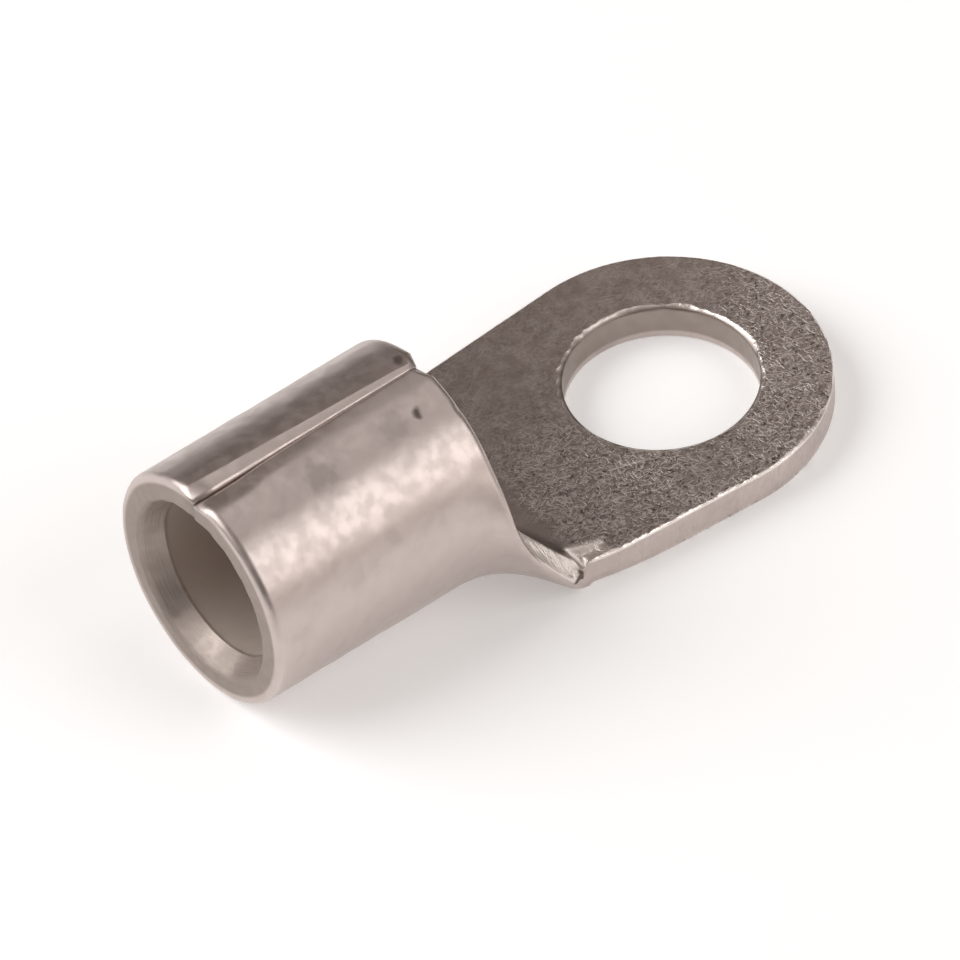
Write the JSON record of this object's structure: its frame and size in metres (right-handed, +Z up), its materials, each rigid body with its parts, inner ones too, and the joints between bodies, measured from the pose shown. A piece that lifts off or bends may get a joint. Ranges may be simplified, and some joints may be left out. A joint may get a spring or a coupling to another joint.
{
  "type": "ring terminal",
  "caption": "Bare ring terminal: a flat tongue with a round stud hole, a short neck, and a rolled tubular wire barrel with a closed seam along its top.",
  "frame": {"origin": "centre of the stud hole on the tongue's underside, where the terminal seats", "axes": "+Z up out of the tongue's top face, along the stud; +X from the wire barrel to the ring's tip; the barrel's mouth faces -X"},
  "size_m": [0.0326, 0.015, 0.0112],
  "materials": {
    "tinned_copper": "matt tin plating over copper"
  },
  "bodies": {
    "root": {"terminal": "tinned_copper"}
  },
  "joints": []
}
